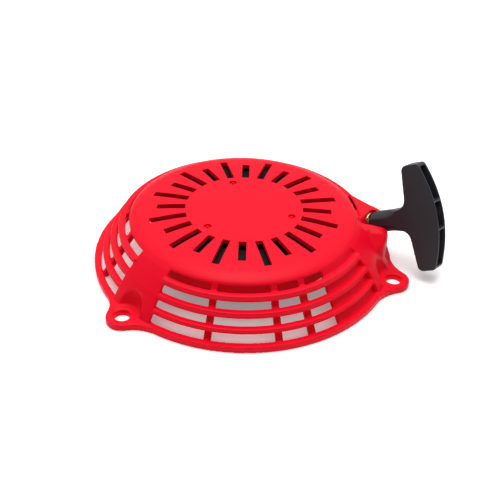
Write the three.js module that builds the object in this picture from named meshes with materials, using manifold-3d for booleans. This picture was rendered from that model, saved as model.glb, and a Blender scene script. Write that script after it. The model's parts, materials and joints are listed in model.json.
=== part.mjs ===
// Recoil starter of a small engine: a moulded case with radial cooling slots, a rope reel on a
// central post, a flat coil mainspring, two ratchets worked by a friction guide, and a T-grip.
// Millimetres, +Z up, the engine side down. Everything is laid out round the crank axis, and the
// whole object is then shifted so that its origin is the bottom centre of its bounding box.

import * as THREE from 'three';
import { mergeVertices } from 'three/addons/utils/BufferGeometryUtils.js';
import Module from 'manifold-3d';

const wasm = await Module();
wasm.setup();

const { PI, cos, sin, atan2, hypot, acos } = Math;
const rad = PI / 180;
const ringSegments = 48;
const gap = 0.3;                       // clearance between neighbouring pieces

// Driving dimensions -----------------------------------------------------------------------
const baseRadius = 95;                 // outside of the mounting ring
const baseInner = 90.8;                // its inside, round the housing's rim
const baseHeight = 4.1;
const plateTop = 37.1;                 // top of the flat centre of the case
const wallThickness = 2.4;
const skirtBottom = 17;                // the reel turns inside this round wall
const skirtInner = 63.2;
const skirtOuter = 65.2;
const reelRoomRadius = 64.2;
const above = 40;                      // any height clear of the case, for cutting tools
const below = -1;

const lugAzimuths = [-135, -15, 105];
const lugCircle = 98.1;                // bolt holes 170 mm apart
const lugTipRadius = 9.8;
const lugFillet = 24;
const boltHoleRadius = 4.9;
const socketRadius = 10.6;             // room for a socket over each bolt

const slotCount = 24;
const slotWidth = 4.7;
const slotFloor = 30;                  // below the face, above the reel's far side
const slotInner = 36.9;
const slotOuterShort = 54.7;
const slotOuterLong = 59.9;

const dimpleCircle = 30.8;
const dimpleRadius = 2.15;
const dimpleDepth = 0.7;
const dimpleBoss = 0.7;
const bossDrop = 0.15;                 // how far each boss stays under the face

const hoops = [                        // inner radius, outer radius, bottom, top
  [74.6, 78.8, 23.6, 27.7],
  [79.8, 84.1, 15.8, 19.8],
  [85.0, 89.3, 8.8, 12.0],
];
const ribWidth = 4.2;
const ribAzimuths = [-102, -75, -61.7, -163, -185, -207, -229, 75, 55];
const pillarHalfAngle = 10.3;
const hoopEnd = 1.1;                   // degrees of each hoop that a pillar takes in
const closedWall = [-50, -20];         // stepped wall without slots, beside the rope outlet
const rimGroove = [71.9, 73.5, 29.2];  // inner and outer radius and floor, under the face's rim
const rimGrooveSpan = [12, 36];

const postRadius = 8;                  // the reel turns on it
const postShoulder = 11.5;             // the mainspring's inner end hooks on this part
const postBottom = 15;
const postStep = 24.3;
const postTop = 36;
const screwHole = 4.6;

const ropeRadius = 2.2;
const windingInner = 40.3;
const windingOuter = 53.9;
const grooveBottom = 20.8;
const grooveTop = 30.0;
const reelRadius = 58.5;
const webBottom = 19.2;
const reelTop = 31.7;
const reelBore = 8.35;
const springCup = [12.5, 37];          // inner and outer radius of the mainspring's room
const anchorPeg = [36, 60];            // radius and azimuth

const gripAxis = new THREE.Vector3(0.829, -0.38, 0.41).normalize();
const gripLong = new THREE.Vector3(-0.223, 0.448, 0.866);
const gripOrigin = new THREE.Vector3(82.7, 10.6, 22.2);   // on the stem's axis, at its nose
const gripHalfLength = 33.7;
const gripReach = 48.2;

const ratchetPivot = 23;
const ratchetAzimuths = [0, 180];

// Solids -----------------------------------------------------------------------------------
function solid(geometry) {
  const bare = geometry.clone();
  bare.deleteAttribute('normal');
  bare.deleteAttribute('uv');
  const merged = mergeVertices(bare, 1e-3);
  const place = merged.attributes.position.array;
  const index = merged.index.array;
  const kept = [];
  let volume = 0;
  for (let i = 0; i < index.length; i += 3) {
    const [a, b, c] = [index[i], index[i + 1], index[i + 2]];
    if (a === b || b === c || c === a) continue;
    kept.push(a, b, c);
    const p = new THREE.Vector3().fromArray(place, 3 * a);
    const q = new THREE.Vector3().fromArray(place, 3 * b);
    const r = new THREE.Vector3().fromArray(place, 3 * c);
    volume += p.dot(q.cross(r));
  }
  if (volume < 0) kept.reverse();
  return new wasm.Manifold(new wasm.Mesh({
    numProp: 3,
    vertProperties: new Float32Array(place),
    triVerts: new Uint32Array(kept),
  }));
}

function union(parts) {
  return parts.reduce((whole, part) => whole.add(part));
}

function subtractAll(body, tools) {
  return tools.reduce((rest, tool) => rest.subtract(tool), body);
}

function geometryOf(body) {
  const mesh = body.asOriginal().simplify(0.03).getMesh();
  const geometry = new THREE.BufferGeometry();
  geometry.setAttribute('position', new THREE.BufferAttribute(new Float32Array(mesh.vertProperties), 3));
  geometry.setIndex(new THREE.BufferAttribute(new Uint32Array(mesh.triVerts), 1));
  geometry.computeVertexNormals();
  return geometry;
}

// a closed profile of [radius, height] points turned round the Z axis
function turned(profile, segments = ringSegments) {
  const points = profile.map(([r, z]) => new THREE.Vector2(r, z));
  if (profile[0][0] > 0) points.push(points[0].clone());
  return solid(new THREE.LatheGeometry(points, segments).rotateX(PI / 2));
}

// a closed outline of [x, y] points, raised from z0 to z1
function raised(outline, z0, z1) {
  const shape = outline instanceof THREE.Shape
    ? outline
    : new THREE.Shape(outline.map(([x, y]) => new THREE.Vector2(x, y)));
  const options = { depth: z1 - z0, bevelEnabled: false, curveSegments: 18 };
  const geometry = new THREE.ExtrudeGeometry(shape, options);
  return solid(geometry.translate(0, 0, z0));
}

// a plate standing on edge: a [radius, height] outline, centred on an azimuth
function upright(outline, width, azimuth) {
  const shape = new THREE.Shape(outline.map(([r, z]) => new THREE.Vector2(r, z)));
  const geometry = new THREE.ExtrudeGeometry(shape, { depth: width, bevelEnabled: false });
  geometry.translate(0, 0, -width / 2).rotateX(PI / 2).rotateZ(azimuth * rad);
  return solid(geometry);
}

function disc(radius, z0, z1, x = 0, y = 0, segments = 32) {
  const geometry = new THREE.CylinderGeometry(radius, radius, z1 - z0, segments);
  return solid(geometry.rotateX(PI / 2).translate(x, y, (z0 + z1) / 2));
}

function tube(inner, outer, z0, z1, segments = 32) {
  return turned([[inner, z0], [outer, z0], [outer, z1], [inner, z1]], segments);
}

// a pie slice of the space round the crank axis, from one azimuth to another
function sector(from, to, z0 = -1, z1 = 40, radius = 130) {
  const outline = [[0, 0]];
  const steps = Math.ceil((to - from) / 8);
  for (let i = 0; i <= steps; i += 1) {
    const angle = (from + ((to - from) * i) / steps) * rad;
    outline.push([radius * cos(angle), radius * sin(angle)]);
  }
  return raised(outline, z0, z1);
}

function polar(radius, azimuth, z = 0) {
  return new THREE.Vector3(radius * cos(azimuth * rad), radius * sin(azimuth * rad), z);
}

// a cylinder along any direction, from one distance to another
function bar(radius, origin, direction, from, to, segments = 28) {
  const geometry = new THREE.CylinderGeometry(radius, radius, to - from, segments);
  geometry.translate(0, (from + to) / 2, 0);
  const turn = new THREE.Quaternion().setFromUnitVectors(new THREE.Vector3(0, 1, 0), direction);
  return solid(geometry.applyQuaternion(turn).translate(origin.x, origin.y, origin.z));
}

// a round cord through a list of points
function cord(points, radius, steps, sides = 8) {
  const shape = new THREE.Shape();
  for (let i = 0; i < sides; i += 1) {
    const angle = (2 * PI * i) / sides;
    const [x, y] = [radius * cos(angle), radius * sin(angle)];
    if (i === 0) shape.moveTo(x, y);
    else shape.lineTo(x, y);
  }
  const path = new THREE.CatmullRomCurve3(points);
  return solid(new THREE.ExtrudeGeometry(shape, { steps, bevelEnabled: false, extrudePath: path }));
}

// Rope outlet ------------------------------------------------------------------------------
// The rope leaves its outer turn on a tangent and runs straight to the eyelet.
const ropeTurnRadius = windingOuter - ropeRadius;
const ropeLevel = (grooveBottom + grooveTop) / 2;
const eyelet = gripOrigin.clone().addScaledVector(gripAxis, -1.5);
const eyeletDistance = hypot(eyelet.x, eyelet.y);
const tangentAzimuth = atan2(eyelet.y, eyelet.x) / rad + acos(ropeTurnRadius / eyeletDistance) / rad;
const ropeStart = polar(ropeTurnRadius, tangentAzimuth, ropeLevel);
const ropeDirection = eyelet.clone().sub(ropeStart).setZ(0).normalize();
const eyeletAxis = ropeDirection.clone().setZ(0.1).normalize();

const outletPlan = [
  [60, 33.7], [64.5, 31.4], [88.0, 19.2], [91.2, 12], [91.9, 4],
  [91.2, -6], [88, -14], [80, -17.5], [62, -16],
];
const outletSide = [[58, 0], [92, 0], [92, 19], [91, 24.2], [88, 26.6], [70, 31.2], [58, 33.4]];
const outletFront = [[34, 0], [34, 40], [4, 40], [2, 29.8], [-8, 26.4], [-14.5, 19.5], [-20, 8], [-20, 0]];

function shrink(outline, distance) {
  const cx = outline.reduce((sum, [x]) => sum + x, 0) / outline.length;
  const cy = outline.reduce((sum, [, y]) => sum + y, 0) / outline.length;
  return outline.map(([x, y]) => {
    const reach = hypot(x - cx, y - cy);
    const scale = (reach - distance) / reach;
    return [cx + (x - cx) * scale, cy + (y - cy) * scale];
  });
}

function outletBlock(plan, side, front) {
  const body = raised(plan, 0, 40);
  const sideways = raised(side, -60, 60);
  const lengthways = raised(front, 40, 110);
  return body
    .intersect(sideways.rotate([90, 0, 0]))
    .intersect(lengthways.transform([0, 1, 0, 0, 0, 0, 1, 0, 1, 0, 0, 0, 0, 0, 0, 1]));
}

// Starter case -----------------------------------------------------------------------------
function capRing() {
  return turned([
    [0, plateTop], [30, 37.0], [45, 36.5], [54.7, 35.8], [59.9, 35.4], [64, 34.8], [67.6, 33.7],
    [70.3, 32.3], [71.7, 31.2], [72, 30.4],
    [69.4, 30.4], [67.4, 31.2], [skirtOuter, 31.8], [skirtOuter, skirtBottom], [skirtInner, skirtBottom],
    [skirtInner, 32.4], [54.7, 33.2], [30, 34.4],
    [0, 34.4],
  ]);
}

function baseOutline() {
  const shape = new THREE.Shape();
  const reachOut = baseRadius + lugFillet;
  const reachTip = lugTipRadius + lugFillet;
  const spread = acos((reachOut ** 2 + lugCircle ** 2 - reachTip ** 2) / (2 * reachOut * lugCircle));
  lugAzimuths.forEach((azimuth, i) => {
    const middle = azimuth * rad;
    const tip = polar(lugCircle, azimuth);
    const before = new THREE.Vector2(reachOut * cos(middle - spread), reachOut * sin(middle - spread));
    const after = new THREE.Vector2(reachOut * cos(middle + spread), reachOut * sin(middle + spread));
    const start = middle - spread;
    if (i === 0) shape.moveTo(baseRadius * cos(start), baseRadius * sin(start));
    const tipBefore = atan2(before.y - tip.y, before.x - tip.x);
    const tipAfter = atan2(after.y - tip.y, after.x - tip.x);
    shape.absarc(before.x, before.y, lugFillet, start + PI, tipBefore + PI, true);
    shape.absarc(tip.x, tip.y, lugTipRadius, tipBefore, tipAfter, false);
    shape.absarc(after.x, after.y, lugFillet, tipAfter + PI, middle + spread + PI, true);
    const next = lugAzimuths[(i + 1) % 3] * rad - spread;
    shape.absarc(0, 0, baseRadius, middle + spread, next, false);
  });
  return shape;
}

function basePlate() {
  const plate = raised(baseOutline(), 0, baseHeight);
  return plate.subtract(disc(baseInner, below, above, 0, 0, ringSegments));
}

const pillarOutside = [
  [60.5, 34.8], [66, 34.2], [70.5, 32.8], [74.5, 30.3], [77.8, 27.2], [84.0, 19.3], [89.2, 11.6],
  [93.6, 4.1], [93.6, 0],
];
const pillarInside = [
  [91.2, 0], [91.2, 3.6], [86.8, 10.6], [81.6, 18.2], [75.4, 26.0], [72, 29], [68, 31], [60.5, 32.9],
];

function pillar(azimuth) {
  const wall = turned([...pillarOutside, ...pillarInside]);
  return wall.intersect(sector(azimuth - pillarHalfAngle, azimuth + pillarHalfAngle));
}

// one ring of the side grille, broken where the pillars pass, with its ends let into them
function hoop([inner, outer, low, high]) {
  const halfAngle = pillarHalfAngle - hoopEnd;
  const breaks = lugAzimuths.map((azimuth) => sector(azimuth - halfAngle, azimuth + halfAngle));
  return subtractAll(tube(inner, outer, low, high, ringSegments), breaks);
}

function socketWell(azimuth) {
  const centre = polar(lugCircle, azimuth);
  const envelope = turned([[80, 0], [93.6, 0], [93.6, 4.1], [89.2, 11.6], [84.0, 19.3], [80, 24]]);
  return disc(socketRadius + wallThickness, 0, above, centre.x, centre.y).intersect(envelope);
}

function starterCase() {
  const skin = turned([[71.6, 31.0], [92.6, 0], [89.6, 0], [69.4, 30.6]]);
  const ribOutline = [[71.2, 31.2], [92.0, 0.3], [87.9, 0.3], [67.4, 31.2]];
  let body = union([
    capRing(),
    basePlate(),
    ...hoops.map(hoop),
    ...ribAzimuths.map((azimuth) => upright(ribOutline, ribWidth, azimuth)),
    skin.intersect(sector(...closedWall)),
    ...lugAzimuths.map(pillar),
    ...lugAzimuths.map(socketWell),
  ]);

  const outside = outletBlock(outletPlan, outletSide, outletFront);
  const inside = outletBlock(
    shrink(outletPlan, 3), shrink(outletSide, 2.6).map(([x, z]) => [x, z < 4 ? baseHeight + 2 : z]),
    shrink(outletFront, 3),
  );
  const reelRoom = disc(reelRoomRadius, below, above, 0, 0, ringSegments);
  const liner = bar(10.4, gripOrigin, gripAxis, -8, 20).intersect(outside);
  const backing = bar(8.6, eyelet, eyeletAxis, -8, 0).intersect(outside);
  body = body.subtract(inside.subtract(reelRoom));
  body = union([body, outside.subtract(inside).subtract(reelRoom), liner, backing]);

  const [grooveInner, grooveOuter, grooveFloor] = rimGroove;
  const tools = [
    bar(8.1, gripOrigin, gripAxis, -0.6, 60),              // seat of the grip's nose
    bar(4.4, eyelet, eyeletAxis, -8, 10),                  // eyelet's barrel
    bar(6.6, eyelet, eyeletAxis, -1.6, 10),                // eyelet's flange
    bar(5.8, eyelet, eyeletAxis, -28, -7.7),               // rope's way in
    bar(5.4, ropeStart, ropeDirection, 10, 42),
    tube(grooveInner, grooveOuter, grooveFloor, above, 2 * ringSegments).intersect(sector(...rimGrooveSpan)),
  ];
  lugAzimuths.forEach((azimuth) => {
    const centre = polar(lugCircle, azimuth);
    tools.push(disc(socketRadius, baseHeight, above, centre.x, centre.y, 40));
    tools.push(disc(boltHoleRadius, below, above, centre.x, centre.y, 32));
    const dimple = polar(dimpleCircle, azimuth);
    tools.push(disc(dimpleRadius, plateTop - dimpleDepth, above, dimple.x, dimple.y, 20));
  });
  for (let i = 0; i < slotCount; i += 1) {
    const azimuth = (360 / slotCount) * i;
    const outer = i % 2 === 0 ? slotOuterShort : slotOuterLong;
    const outline = [[slotInner, slotFloor], [outer, slotFloor], [outer, above], [slotInner, above]];
    tools.push(upright(outline, slotWidth, azimuth));
  }
  body = subtractAll(body, tools);
  const bosses = lugAzimuths.map((azimuth) => {
    const centre = polar(dimpleCircle, azimuth);
    return disc(dimpleBoss, plateTop - 2 * dimpleDepth, plateTop - bossDrop, centre.x, centre.y, 12);
  });
  const post = turned([
    [0, postTop], [postShoulder, postTop], [postShoulder, postStep], [postRadius, postStep],
    [postRadius, postBottom], [screwHole, postBottom], [screwHole, 31], [0, 31],
  ], 40);
  const [hookInner, hookOuter] = [postShoulder - 1, postShoulder + 1.6];
  const [hookLow, hookHigh] = [postStep + 1, 33];
  const hookOutline = [
    [hookInner, hookLow], [hookOuter, hookLow], [hookOuter, hookHigh], [hookInner, hookHigh],
  ];
  const hook = upright(hookOutline, 3, 90);
  return union([body, ...bosses, post, hook]);
}

// Reel and rope ----------------------------------------------------------------------------
const knotPlace = polar(45, 200, 16.6);                    // the rope's inner end, under the web

function reel() {
  const [hub, cup] = springCup;
  const [hubLow, hubHigh] = [15.3, 23.6];
  const cupFloor = 22;
  const body = turned([
    [reelBore, hubLow], [hub, hubLow], [hub, webBottom], [cup + 1, webBottom], [reelRadius - 1, webBottom],
    [reelRadius, webBottom + 0.6], [reelRadius, grooveBottom - gap], [windingInner - gap, grooveBottom],
    [windingInner - gap, grooveTop], [reelRadius, grooveTop + gap], [reelRadius, reelTop - 0.5],
    [reelRadius - 0.8, reelTop], [cup + 1.4, reelTop], [cup, reelTop - 0.5], [cup, cupFloor],
    [hub, cupFloor], [hub, hubHigh], [reelBore, hubHigh],
  ]);
  const knotHole = disc(2.7, hubLow, grooveBottom + 0.5, knotPlace.x, knotPlace.y, 16);
  const anchor = polar(...anchorPeg);
  const peg = disc(2.2, cupFloor - 0.5, 31, anchor.x, anchor.y, 16);
  const pins = ratchetAzimuths.map((azimuth) => {
    const pivot = polar(ratchetPivot, azimuth);
    return disc(2.4, 12.9, webBottom + 0.5, pivot.x, pivot.y, 20);
  });
  return union([body.subtract(knotHole), peg, ...pins]);
}

function ropeWinding() {
  const bulge = 0.45 * ropeRadius;                          // how deep the turns stand apart
  return turned([
    [windingInner, grooveBottom + gap], [windingOuter - bulge, grooveBottom + gap + 0.4],
    [windingOuter, grooveBottom + ropeRadius], [windingOuter - bulge, ropeLevel],
    [windingOuter, grooveTop - ropeRadius], [windingOuter - bulge, grooveTop - gap - 0.4],
    [windingInner, grooveTop - gap],
  ]);
}

function ropeKnot() {
  const ball = new THREE.SphereGeometry(3.6, 16, 10).scale(1, 1, 0.62);
  const stub = disc(ropeRadius, knotPlace.z, grooveBottom - 0.1, knotPlace.x, knotPlace.y, 12);
  return solid(ball.translate(knotPlace.x, knotPlace.y, knotPlace.z)).add(stub);
}

function ropeLead() {
  const clearRadius = windingOuter + ropeRadius + 2 * gap;
  const clearDistance = Math.sqrt(clearRadius ** 2 - ropeTurnRadius ** 2);
  const clear = ropeStart.clone().addScaledVector(ropeDirection, clearDistance);
  const last = eyelet.clone().addScaledVector(eyeletAxis, -0.6);
  const before = eyelet.clone().addScaledVector(eyeletAxis, -8);
  return cord([clear, clear.clone().lerp(before, 0.5), before, last], ropeRadius, 12);
}

function ropeTail() {
  const stations = [0.9, 12, 24, 36.2];                       // distances along the grip's axis
  const points = stations.map((distance) => gripOrigin.clone().addScaledVector(gripAxis, distance));
  return cord(points, ropeRadius, 10);
}

function ropeEyelet() {
  const profile = [
    [2.75, -7.4], [4.1, -7.4], [4.1, -1.3], [6.2, -1.3], [6.2, -0.5], [5.6, 0], [3.6, 0], [2.75, -0.7],
  ];
  const points = profile.map(([r, h]) => new THREE.Vector2(r, h));
  points.push(points[0].clone());
  const geometry = new THREE.LatheGeometry(points, 28);
  const turn = new THREE.Quaternion().setFromUnitVectors(new THREE.Vector3(0, 1, 0), eyeletAxis);
  return solid(geometry.applyQuaternion(turn).translate(eyelet.x, eyelet.y, eyelet.z));
}

// a flat spiral strip from the post's hook out to the reel's anchor peg
function mainspring() {
  const turns = 5;
  const strip = 0.5;
  const steps = turns * 20;
  const start = postShoulder + 2.2;
  const end = 33;
  const inner = [];
  const outer = [];
  for (let i = 0; i <= steps; i += 1) {
    const angle = (90 + (360 * turns * i) / steps - 30) * rad;
    const radius = start + ((end - start) * i) / steps;
    inner.push([radius * cos(angle), radius * sin(angle)]);
    outer.push([(radius + strip) * cos(angle), (radius + strip) * sin(angle)]);
  }
  return raised([...outer, ...inner.reverse()], 22.6, 30.4);
}

// Engagement parts -------------------------------------------------------------------------
function postInsert() {
  return turned([[3.3, 15.4], [4.3, 15.4], [4.3, 30.4], [3.3, 30.4]], 24);
}

function thrustWasher() {
  return tube(3.4, 12, 13.4, 14.7, 40);
}

function centreScrew() {
  const shank = disc(3.0, 7, 29.6, 0, 0, 24);
  const flange = turned([[0, 5.9], [7.2, 5.9], [7.5, 6.3], [7.5, 7.2], [0, 7.2]], 32);
  const head = disc(5.6, 2.6, 6.2, 0, 0, 6);
  return union([shank, flange, head]);
}

function frictionSpring() {
  const coilRadius = 5.6;
  const wireRadius = 0.4;
  const [low, high] = [10.5, 12.4];
  const turns = 1.75;
  const steps = 42;
  const points = [];
  for (let i = 0; i <= steps; i += 1) {
    const share = i / steps;
    points.push(polar(coilRadius, 360 * turns * share, low + (high - low) * share));
  }
  return cord(points, wireRadius, steps, 6);
}

function ratchetGuide() {
  const plateLow = 7.5;
  const plateHigh = 9.4;
  const pegTop = 15.6;                                        // reaches beside the ratchets' tails
  const rimTop = 12.6;
  const hub = turned([
    [3.4, plateLow], [11, plateLow], [11, plateHigh], [9.4, plateHigh], [9.4, rimTop], [8, rimTop],
    [8, plateHigh], [3.4, plateHigh],
  ], 40);
  const arms = ratchetAzimuths.map((azimuth) => {
    const outline = [[9, -4.5], [20, -7], [24, -5], [24.6, 0], [24, 5], [20, 7], [9, 4.5]];
    return raised(outline, plateLow, plateHigh).rotate([0, 0, azimuth - 26]);
  });
  const pegs = ratchetAzimuths.map((azimuth) => {
    const peg = polar(15.2, azimuth - 38);
    return disc(1.9, plateLow + 0.5, pegTop, peg.x, peg.y, 16);
  });
  return union([hub, ...arms, ...pegs]);
}

const ratchetLow = 13.2;
const ratchetHigh = 17.2;

// drawn for the pivot on the +X axis, with its tooth leading clockwise
function ratchet(azimuth) {
  const outline = [
    [23, 4.9], [19.6, 3.4], [18.3, 0], [19.2, -5.5], [20.6, -12], [20.6, -18], [19.4, -22.4],
    [23.6, -24.2], [25.4, -21.4], [26.8, -16], [28.2, -8], [28, 0], [26.4, 3.6],
  ];
  const body = raised(outline, ratchetLow, ratchetHigh).subtract(disc(2.8, 10, 20, ratchetPivot, 0, 24));
  return body.rotate([0, 0, azimuth]);
}

function ratchetSpring(azimuth) {
  const coil = tube(3.0, 4.0, 17.6, 18.8, 24).translate([ratchetPivot, 0, 0]);
  const leg = raised([[22.5, 3.1], [22.5, 4.0], [15, 6.2], [15, 5.2]], 17.7, 18.7);
  return coil.add(leg).rotate([0, 0, azimuth]);
}

// Grip -------------------------------------------------------------------------------------
// Drawn flat: x along the rope, y along the T's long bar, then stood up in its own frame.
function gripOutline() {
  const half = gripHalfLength;
  const shape = new THREE.Shape();
  shape.moveTo(5, -6.7);
  shape.lineTo(21.5, -6.7);
  shape.quadraticCurveTo(26.8, -6.9, 28.2, -12.5);
  shape.lineTo(30.6, -half + 3.2);
  shape.quadraticCurveTo(31.2, -half, 34.5, -half);
  shape.lineTo(41.8, -half);
  shape.quadraticCurveTo(43.6, -half, 44.2, -half + 2.4);
  shape.quadraticCurveTo(gripReach + 3.6, 0, 44.2, half - 2.4);
  shape.quadraticCurveTo(43.6, half, 41.8, half);
  shape.lineTo(34.5, half);
  shape.quadraticCurveTo(31.2, half, 30.6, half - 3.2);
  shape.lineTo(28.2, 12.5);
  shape.quadraticCurveTo(26.8, 6.9, 21.5, 6.7);
  shape.lineTo(5, 6.7);
  shape.quadraticCurveTo(1, 6.2, 0.8, 0);
  shape.quadraticCurveTo(1, -6.2, 5, -6.7);
  return shape;
}

function gripFrame() {
  const across = new THREE.Vector3().crossVectors(gripAxis, gripLong).normalize();
  const long = new THREE.Vector3().crossVectors(across, gripAxis).normalize();
  return new THREE.Matrix4().makeBasis(gripAxis, long, across).setPosition(gripOrigin);
}

function grip() {
  const bevel = 1.6;
  const halfThick = 6.7;
  const flat = new THREE.ExtrudeGeometry(gripOutline(), {
    depth: 2 * (halfThick - bevel), curveSegments: 8, bevelThickness: bevel, bevelSize: bevel,
    bevelOffset: -bevel, bevelSegments: 2,
  });
  flat.translate(0, 0, bevel - halfThick);
  const taper = raised([[-2, -halfThick], [28, -halfThick], [36, -6.2], [60, -3.6], [60, 3.6], [36, 6.2],
    [28, halfThick], [-2, halfThick]], -60, 60).rotate([90, 0, 0]);
  const stemLength = 20;
  const stemCorner = raised([[-5, -12], [stemLength, -12], [stemLength, 12], [-5, 12]], -12, 12)
    .subtract(bar(7.1, new THREE.Vector3(), new THREE.Vector3(1, 0, 0), -6, stemLength + 1, 32));
  let body = solid(flat).intersect(taper).subtract(stemCorner);
  const pocket = (y0, y1, floor, half) => raised([[floor, y0], [60, y0], [60, y1], [floor, y1]], -half, half);
  body = subtractAll(body, [
    pocket(-7.4, 7.4, 36.4, 3.5),
    pocket(9.2, 30.8, 36.8, 3.3),
    pocket(-30.8, -9.2, 36.8, 3.3),
    bar(2.75, new THREE.Vector3(), new THREE.Vector3(1, 0, 0), -5, 40, 20),
  ]);
  return body;
}

function gripKnot() {
  const ball = new THREE.SphereGeometry(1, 16, 10).scale(3.4, 5, 3.1);
  return solid(ball.translate(40.6, 0, 0));
}

// Assembly ---------------------------------------------------------------------------------
const finishes = {
  redPlastic: { color: 0xd8141f, roughness: 0.38, metalness: 0 },
  blackPlastic: { color: 0x26262a, roughness: 0.5, metalness: 0 },
  gripRubber: { color: 0x2c2b2f, roughness: 0.6, metalness: 0 },
  rope: { color: 0xd9d4c6, roughness: 0.9, metalness: 0 },
  brass: { color: 0xc79a3e, roughness: 0.3, metalness: 1 },
  zincSteel: { color: 0xb9bcc0, roughness: 0.35, metalness: 1 },
  springSteel: { color: 0x6f757d, roughness: 0.35, metalness: 1 },
};

const group = new THREE.Group();

function place(name, body, finish, parent = group) {
  const mesh = new THREE.Mesh(geometryOf(body), new THREE.MeshStandardMaterial(finishes[finish]));
  mesh.name = name;
  parent.add(mesh);
}

const assembly = new THREE.Group();
group.add(assembly);

place('starter_case', starterCase(), 'redPlastic', assembly);
place('rope_eyelet', ropeEyelet(), 'brass', assembly);
place('post_insert', postInsert(), 'brass', assembly);
place('thrust_washer', thrustWasher(), 'zincSteel', assembly);
place('centre_screw', centreScrew(), 'zincSteel', assembly);
place('mainspring', mainspring(), 'springSteel', assembly);
place('rope_lead', ropeLead(), 'rope', assembly);
place('reel', reel(), 'blackPlastic', assembly);
place('rope_winding', ropeWinding(), 'rope', assembly);
place('rope_knot', ropeKnot(), 'rope', assembly);
place('friction_spring', frictionSpring(), 'springSteel', assembly);
place('ratchet_guide', ratchetGuide(), 'blackPlastic', assembly);
ratchetAzimuths.forEach((azimuth, i) => {
  place(`ratchet_${i + 1}`, ratchet(azimuth), 'zincSteel', assembly);
  place(`ratchet_spring_${i + 1}`, ratchetSpring(azimuth), 'springSteel', assembly);
});
place('rope_tail', ropeTail(), 'rope', assembly);

const handle = new THREE.Group();
handle.applyMatrix4(gripFrame());
assembly.add(handle);
place('grip', grip(), 'gripRubber', handle);
place('grip_knot', gripKnot(), 'rope', handle);

group.updateMatrixWorld(true);
const box = new THREE.Box3().setFromObject(group, true);
const centre = box.getCenter(new THREE.Vector3());
assembly.position.set(-centre.x, -centre.y, 0);

export default group;
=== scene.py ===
import json
import math

import bmesh
import bpy
from mathutils import Matrix, Vector


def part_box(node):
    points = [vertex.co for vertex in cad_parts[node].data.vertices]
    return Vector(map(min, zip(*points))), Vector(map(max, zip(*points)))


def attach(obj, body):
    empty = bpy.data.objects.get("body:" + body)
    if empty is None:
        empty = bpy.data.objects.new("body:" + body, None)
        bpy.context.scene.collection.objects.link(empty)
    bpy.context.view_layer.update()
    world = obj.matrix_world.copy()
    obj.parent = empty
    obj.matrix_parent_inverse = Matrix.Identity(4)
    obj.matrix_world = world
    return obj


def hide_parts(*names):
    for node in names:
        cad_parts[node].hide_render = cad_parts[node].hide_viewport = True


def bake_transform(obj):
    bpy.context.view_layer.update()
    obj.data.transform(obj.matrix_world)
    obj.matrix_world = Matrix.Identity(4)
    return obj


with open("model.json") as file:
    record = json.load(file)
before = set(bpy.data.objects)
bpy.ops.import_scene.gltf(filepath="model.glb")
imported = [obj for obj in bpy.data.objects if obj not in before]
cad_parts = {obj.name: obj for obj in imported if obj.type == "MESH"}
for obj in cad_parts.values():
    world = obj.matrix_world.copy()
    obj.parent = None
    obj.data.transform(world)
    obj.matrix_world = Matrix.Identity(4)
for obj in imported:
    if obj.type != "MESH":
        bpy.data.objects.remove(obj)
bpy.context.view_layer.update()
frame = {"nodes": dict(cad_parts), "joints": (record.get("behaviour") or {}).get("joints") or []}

mm = 0.001
tiny = 1e-6


# Places come from the frame
windingLow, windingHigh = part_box("rope_winding")
crank = Vector(((windingLow.x + windingHigh.x) / 2, (windingLow.y + windingHigh.y) / 2, 0))
joints = {joint["name"]: joint for joint in frame["joints"]}
lugAzimuths = (-135, -15, 105)


def polar(radius, azimuth, z=0.0):
    angle = math.radians(azimuth)
    return Vector((radius * math.cos(angle), radius * math.sin(angle), z))


camera = {
    "place": (4.5, -500.3, 361.2),  # mm from the crank axis, on the mounting plane
    "down": 35.48,
    "roll": 1.84,
    "lens": 68.4,
    "sensor": 36,
    "far": 50,
}


def makeCamera(spec):
    data = bpy.data.cameras.new("camera")
    data.lens = spec["lens"]
    data.sensor_width = spec["sensor"]
    data.clip_end = spec["far"]
    cam = bpy.data.objects.new("camera", data)
    bpy.context.scene.collection.objects.link(cam)
    pitch = Matrix.Rotation(math.radians(90 - spec["down"]), 4, "X")
    turn = Matrix.Rotation(math.radians(spec["roll"]), 4, "Z")
    cam.matrix_world = Matrix.Translation(crank + Vector(spec["place"]) * mm) @ pitch @ turn
    bpy.context.scene.camera = cam


light = {
    "sky": {
        "low": 0.1, "high": 0.95, "heights": (-0.1, 0.85),  # brightness from the horizon up
        "front": 0.15, "back": 1.35, "sides": (-0.9, 0.5),  # and from the near side to the far side
    },
    "key": {"place": (0.0, 0.08, 1.15), "aim": (0, 0, 0.02), "size": 0.8, "power": 8.6},
}


def ramp(tree, source, fromLow, fromHigh, low, high):
    made = tree.nodes.new("ShaderNodeMapRange")
    made.interpolation_type = "SMOOTHSTEP"
    tree.links.new(source, made.inputs["Value"])
    for label, value in (("From Min", fromLow), ("From Max", fromHigh), ("To Min", low), ("To Max", high)):
        made.inputs[label].default_value = value
    return made.outputs["Result"]


def makeSky(spec):
    world = bpy.data.worlds.new("softSky")
    world.use_nodes = True
    tree = world.node_tree
    coords = tree.nodes.new("ShaderNodeTexCoord")
    parts = tree.nodes.new("ShaderNodeSeparateXYZ")
    tree.links.new(coords.outputs["Generated"], parts.inputs["Vector"])
    height = ramp(tree, parts.outputs["Z"], *spec["heights"], spec["low"], spec["high"])
    side = ramp(tree, parts.outputs["Y"], *spec["sides"], spec["front"], spec["back"])
    both = tree.nodes.new("ShaderNodeMath")
    both.operation = "MULTIPLY"
    tree.links.new(height, both.inputs[0])
    tree.links.new(side, both.inputs[1])
    tree.nodes["Background"].inputs["Color"].default_value = (1, 1, 1, 1)
    tree.links.new(both.outputs["Value"], tree.nodes["Background"].inputs["Strength"])
    bpy.context.scene.world = world


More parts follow.
